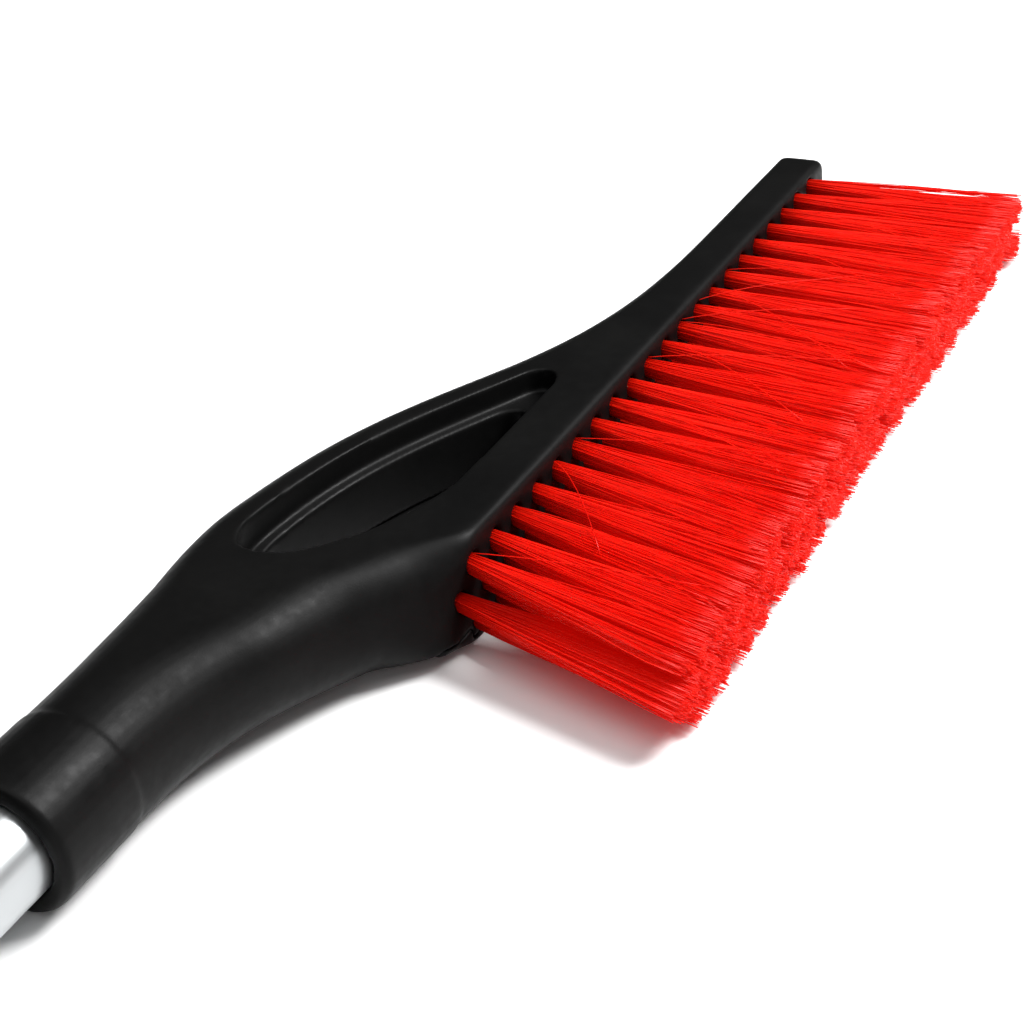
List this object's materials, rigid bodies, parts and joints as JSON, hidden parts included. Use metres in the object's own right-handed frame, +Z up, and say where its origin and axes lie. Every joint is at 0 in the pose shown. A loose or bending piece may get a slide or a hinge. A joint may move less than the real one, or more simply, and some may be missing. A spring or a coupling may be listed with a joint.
{
  "type": "snow brush scraper",
  "caption": "Snow brush with a moulded head and hand hole, rows of red bristle tufts, an aluminium tube, a foam grip and an ice scraper blade.",
  "frame": {"origin": "centre of the tool's bounding box in plan, on the surface it lies on", "axes": "+X along the handle's tube from the scraper to the brush head, bristles towards -Y, +Z up off the surface"},
  "size_m": [0.6838, 0.15, 0.0303],
  "materials": {
    "black_plastic": "fine-grained moulded polypropylene",
    "red_bristle": "satin extruded filaments, slightly wavy",
    "red_plastic": "smooth moulded, lightly scratched",
    "aluminium": "satin, drawn lengthways",
    "foam": "closed-cell foam, finely pitted",
    "zinc_steel": "zinc plated"
  },
  "bodies": {
    "root": {"head_body": "black_plastic", "head_cover": "black_plastic", "cover_screw_neck": "zinc_steel", "cover_screw_arch": "zinc_steel", "cover_screw_beam_1": "zinc_steel", "cover_screw_beam_2": "zinc_steel", "cover_screw_beam_3": "zinc_steel", "tufts_top_1": "red_bristle", "tufts_top_2": "red_bristle", "tufts_top_3": "red_bristle", "tufts_top_4": "red_bristle", "tufts_top_5": "red_bristle", "tufts_top_6": "red_bristle", "tufts_top_7": "red_bristle", "tufts_middle_1": "red_bristle", "tufts_middle_2": "red_bristle", "tufts_middle_3": "red_bristle", "tufts_middle_4": "red_bristle", "tufts_middle_5": "red_bristle", "tufts_middle_6": "red_bristle", "tufts_middle_7": "red_bristle", "tufts_bottom_1": "red_bristle", "tufts_bottom_2": "red_bristle", "tufts_bottom_3": "red_bristle", "tufts_bottom_4": "red_bristle", "tufts_bottom_5": "red_bristle", "tufts_bottom_6": "red_bristle", "tufts_bottom_7": "red_bristle", "handle_tube": "aluminium", "tube_screw_head": "zinc_steel", "tube_screw_scraper": "zinc_steel", "foam_grip": "foam", "scraper_holder": "black_plastic", "scraper_blade": "red_plastic", "blade_screw_left": "zinc_steel", "blade_screw_right": "zinc_steel"}
  },
  "joints": []
}
